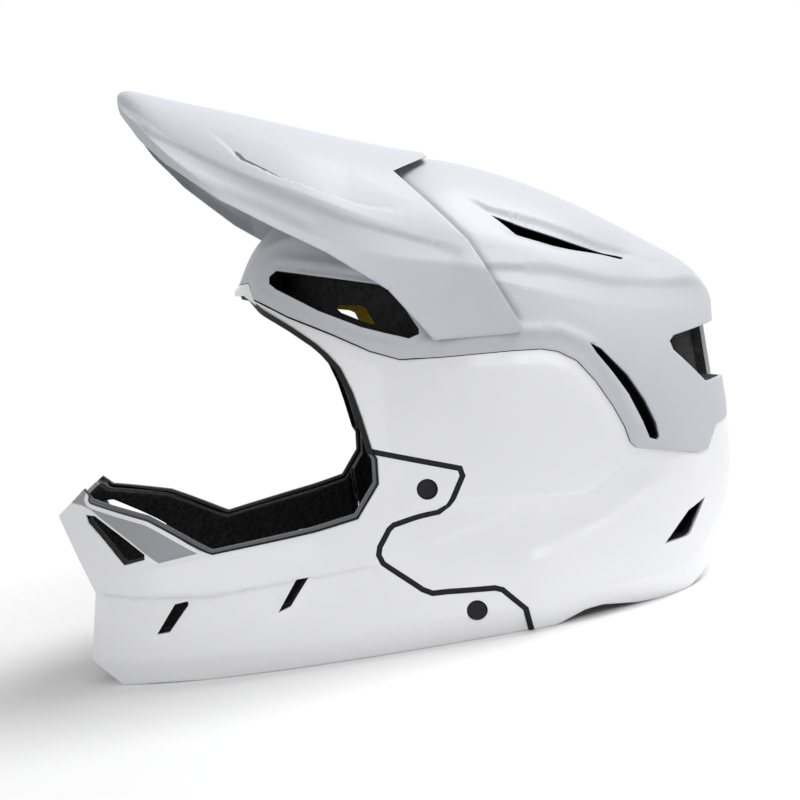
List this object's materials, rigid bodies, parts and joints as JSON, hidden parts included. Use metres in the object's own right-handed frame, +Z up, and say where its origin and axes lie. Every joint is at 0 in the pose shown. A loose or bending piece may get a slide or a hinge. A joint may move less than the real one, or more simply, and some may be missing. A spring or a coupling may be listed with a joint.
{
  "type": "full face helmet",
  "caption": "Full face downhill helmet: matt upper shell, gloss sides, tilting visor, detachable chin bar on push-button latches, foam liner, pads and fit dial.",
  "frame": {"origin": "bottom centre of the bounding box, on the surface that the helmet stands on", "axes": "+Z up, -X the way the wearer faces, +Y the wearer's right"},
  "size_m": [0.365, 0.2248, 0.3061],
  "materials": {
    "matt_shell": "matt clear coat over pale grey-white",
    "gloss_shell": "gloss white",
    "black_foam": "moulded foam beads, black",
    "black_rubber": "soft matt rubber",
    "grey_trim": "dark grey rubber",
    "grey_accent": "satin grey",
    "black_nylon": "moulded nylon",
    "dial_plastic": "moulded nylon, knurled",
    "yellow_slip": "thin yellow sheet",
    "spring_steel": "spring wire",
    "pad_fabric": "brushed knit over foam",
    "button_plastic": "dark grey nylon"
  },
  "bodies": {
    "root": {"upper_shell": "matt_shell", "lower_shell": "gloss_shell", "eps_liner": "black_foam", "eps_side_liner": "black_foam", "chin_bar_sockets": "black_nylon", "eyeport_trim": "black_rubber", "seam_gasket": "black_rubber", "visor_bushes": "black_nylon", "slip_liner": "yellow_slip", "brow_pad": "pad_fabric", "crown_pad": "pad_fabric", "side_pads": "pad_fabric", "nape_pad": "pad_fabric", "cheek_pad_left": "pad_fabric", "cheek_pad_right": "pad_fabric", "dial_housing": "black_nylon"},
    "chin_bar": {"chin_bar_shell": "gloss_shell", "chin_bar_foam": "black_foam", "chin_edge_trim": "grey_trim", "accent_panel": "grey_accent", "latch_blocks": "black_nylon", "button_springs": "spring_steel"},
    "visor": {"visor": "matt_shell", "visor_pins": "black_nylon"},
    "fit_dial": {"fit_dial": "dial_plastic"},
    "button_upper_left": {"button_upper_left": "button_plastic"},
    "button_upper_right": {"button_upper_right": "button_plastic"},
    "button_lower_left": {"button_lower_left": "button_plastic"},
    "button_lower_right": {"button_lower_right": "button_plastic"}
  },
  "joints": [
    {"name": "chin_bar_slide", "type": "slide", "parent": "root", "child": "chin_bar", "axis": [-1, 0, 0], "range_m": [0, 0.09]},
    {"name": "visor_tilt", "type": "hinge", "parent": "root", "child": "visor", "pos_m": [0.02956, 0, 0.16393], "axis": [0, -1, 0], "range_deg": [0, 8]},
    {"name": "fit_dial_turn", "type": "hinge", "parent": "root", "child": "fit_dial", "pos_m": [0.13505, 0, 0.06305], "axis": [1, 0, 0], "range_deg": [0, 120]},
    {"name": "button_upper_left_press", "type": "slide", "parent": "chin_bar", "child": "button_upper_left", "axis": [0, 1, 0], "range_m": [0, 0.002], "stiffness_N_per_m": 600, "deforming": ["button_springs"]},
    {"name": "button_upper_right_press", "type": "slide", "parent": "chin_bar", "child": "button_upper_right", "axis": [0, -1, 0], "range_m": [0, 0.002], "stiffness_N_per_m": 600, "deforming": ["button_springs"]},
    {"name": "button_lower_left_press", "type": "slide", "parent": "chin_bar", "child": "button_lower_left", "axis": [0, 1, 0], "range_m": [0, 0.002], "stiffness_N_per_m": 600, "deforming": ["button_springs"]},
    {"name": "button_lower_right_press", "type": "slide", "parent": "chin_bar", "child": "button_lower_right", "axis": [0, -1, 0], "range_m": [0, 0.002], "stiffness_N_per_m": 600, "deforming": ["button_springs"]}
  ]
}
